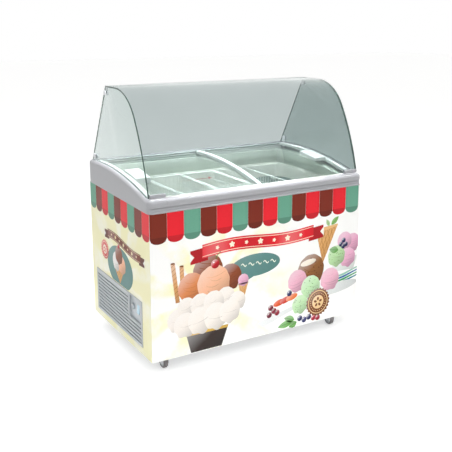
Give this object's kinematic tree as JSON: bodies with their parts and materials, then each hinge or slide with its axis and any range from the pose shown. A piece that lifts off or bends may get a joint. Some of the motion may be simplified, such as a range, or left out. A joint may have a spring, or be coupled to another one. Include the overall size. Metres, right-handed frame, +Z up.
{
  "type": "ice cream dipping cabinet",
  "caption": "Chest freezer on casters with an awning-striped body, curved sliding glass lids and a bent glass canopy open at the back.",
  "frame": {"origin": "on the floor, under the middle of the cabinet", "axes": "+X to the customer's right, +Y to the server's side, +Z up"},
  "size_m": [1.14, 0.7, 1.235],
  "materials": {
    "printed_steel": "printed film over painted sheet",
    "steel": "zinc coated",
    "foam": "rigid foam, matte",
    "liner": "white coated",
    "grey_plastic": "satin moulding",
    "collar": "satin moulding",
    "track": "extruded, satin",
    "canopy_glass": "bent float glass, polished edges",
    "lid_glass": "bent float glass",
    "rail": "white moulding",
    "grille": "satin moulding",
    "control": "satin moulding",
    "switch": "translucent, gloss",
    "black_plastic": "fine texture",
    "compressor": "black enamel",
    "fins": "mill finish fins",
    "copper": "drawn tube",
    "zinc": "zinc plated",
    "caster_tread": "grey rubber",
    "wire": "white coated wire",
    "tub": "satin",
    "tub_lid": "satin"
  },
  "bodies": {
    "cabinet": {"base_pan": "steel", "canopy_front_glass": "canopy_glass", "canopy_left_glass": "canopy_glass", "canopy_right_glass": "canopy_glass", "caster_plate_front_left": "zinc", "caster_plate_front_right": "zinc", "caster_plate_rear_left": "zinc", "caster_plate_rear_right": "zinc", "compressor": "compressor", "condenser": "fins", "control_panel": "control", "electrical_box": "black_plastic", "fan_motor": "steel", "fan_shroud": "black_plastic", "foam_insulation": "foam", "front_panel": "printed_steel", "front_rim": "grey_plastic", "front_track": "track", "inner_liner": "liner", "left_end_frame": "grey_plastic", "left_glass_shoe": "grey_plastic", "left_panel": "printed_steel", "left_rear_clamp": "grey_plastic", "left_top_clamp": "grey_plastic", "power_inlet": "black_plastic", "rear_panel": "printed_steel", "rear_rim": "grey_plastic", "rear_track": "track", "refrigerant_pipe": "copper", "right_end_frame": "grey_plastic", "right_glass_shoe": "grey_plastic", "right_panel": "printed_steel", "right_rear_clamp": "grey_plastic", "right_top_clamp": "grey_plastic", "storage_tub": "tub", "throat_collar": "collar", "vent_grille": "grille"},
    "left_lid": {"left_lid_glass": "lid_glass", "left_lid_grip_rail": "rail", "left_lid_inner_rail": "rail"},
    "right_lid": {"right_lid_glass": "lid_glass", "right_lid_grip_rail": "rail", "right_lid_inner_rail": "rail"},
    "fan": {"fan_blade": "black_plastic"},
    "knob": {"thermostat_knob": "black_plastic"},
    "switch": {"power_switch": "switch"},
    "dipping_tub": {"dipping_tub": "tub"},
    "tub_lid": {"tub_lid": "tub_lid"},
    "basket_1": {"basket_1": "wire"},
    "basket_2": {"basket_2": "wire"},
    "basket_3": {"basket_3": "wire"},
    "basket_4": {"basket_4": "wire"},
    "caster_front_left": {"caster_fork_front_left": "zinc"},
    "wheel_front_left": {"caster_wheel_front_left": "caster_tread"},
    "caster_front_right": {"caster_fork_front_right": "zinc"},
    "wheel_front_right": {"caster_wheel_front_right": "caster_tread"},
    "caster_rear_left": {"caster_fork_rear_left": "zinc"},
    "wheel_rear_left": {"caster_wheel_rear_left": "caster_tread"},
    "caster_rear_right": {"caster_fork_rear_right": "zinc"},
    "wheel_rear_right": {"caster_wheel_rear_right": "caster_tread"}
  },
  "joints": [
    {"name": "left_lid_slide", "type": "slide", "parent": "cabinet", "child": "left_lid", "axis": [1, 0, 0], "range_m": [0, 0.44]},
    {"name": "right_lid_slide", "type": "slide", "parent": "cabinet", "child": "right_lid", "axis": [1, 0, 0], "range_m": [-0.44, 0]},
    {"name": "fan_spin", "type": "hinge", "parent": "cabinet", "child": "fan", "pos_m": [-0.475, 0.075, 0.212], "axis": [1, 0, 0], "continuous": true},
    {"name": "thermostat_turn", "type": "hinge", "parent": "cabinet", "child": "knob", "pos_m": [-0.5595, -0.143, 0.2715], "axis": [1, 0, 0], "range_deg": [-135, 135]},
    {"name": "switch_rock", "type": "hinge", "parent": "cabinet", "child": "switch", "pos_m": [-0.558, -0.195, 0.2715], "axis": [0, 1, 0], "range_deg": [-12, 0]},
    {"name": "dipping_tub_lift", "type": "slide", "parent": "cabinet", "child": "dipping_tub", "axis": [0, 0, 1], "range_m": [0, 0.09]},
    {"name": "tub_lid_lift", "type": "slide", "parent": "dipping_tub", "child": "tub_lid", "axis": [0, 0, 1], "range_m": [0, 0.04]},
    {"name": "basket_1_lift", "type": "slide", "parent": "cabinet", "child": "basket_1", "axis": [0, 0, 1], "range_m": [0, 0.01]},
    {"name": "basket_2_lift", "type": "slide", "parent": "cabinet", "child": "basket_2", "axis": [0, 0, 1], "range_m": [0, 0.01]},
    {"name": "basket_3_lift", "type": "slide", "parent": "cabinet", "child": "basket_3", "axis": [0, 0, 1], "range_m": [0, 0.01]},
    {"name": "basket_4_lift", "type": "slide", "parent": "cabinet", "child": "basket_4", "axis": [0, 0, 1], "range_m": [0, 0.01]},
    {"name": "swivel_front_left", "type": "hinge", "parent": "cabinet", "child": "caster_front_left", "pos_m": [-0.47, -0.273, 0.07], "axis": [0, 0, 1], "continuous": true},
    {"name": "roll_front_left", "type": "hinge", "parent": "caster_front_left", "child": "wheel_front_left", "pos_m": [-0.47, -0.255, 0.02986], "axis": [1, 0, 0], "continuous": true},
    {"name": "swivel_front_right", "type": "hinge", "parent": "cabinet", "child": "caster_front_right", "pos_m": [0.47, -0.273, 0.07], "axis": [0, 0, 1], "continuous": true},
    {"name": "roll_front_right", "type": "hinge", "parent": "caster_front_right", "child": "wheel_front_right", "pos_m": [0.47, -0.255, 0.02986], "axis": [1, 0, 0], "continuous": true},
    {"name": "swivel_rear_left", "type": "hinge", "parent": "cabinet", "child": "caster_rear_left", "pos_m": [-0.47, 0.273, 0.07], "axis": [0, 0, 1], "continuous": true},
    {"name": "roll_rear_left", "type": "hinge", "parent": "caster_rear_left", "child": "wheel_rear_left", "pos_m": [-0.47, 0.291, 0.02986], "axis": [1, 0, 0], "continuous": true},
    {"name": "swivel_rear_right", "type": "hinge", "parent": "cabinet", "child": "caster_rear_right", "pos_m": [0.47, 0.273, 0.07], "axis": [0, 0, 1], "continuous": true},
    {"name": "roll_rear_right", "type": "hinge", "parent": "caster_rear_right", "child": "wheel_rear_right", "pos_m": [0.47, 0.291, 0.02986], "axis": [1, 0, 0], "continuous": true}
  ]
}
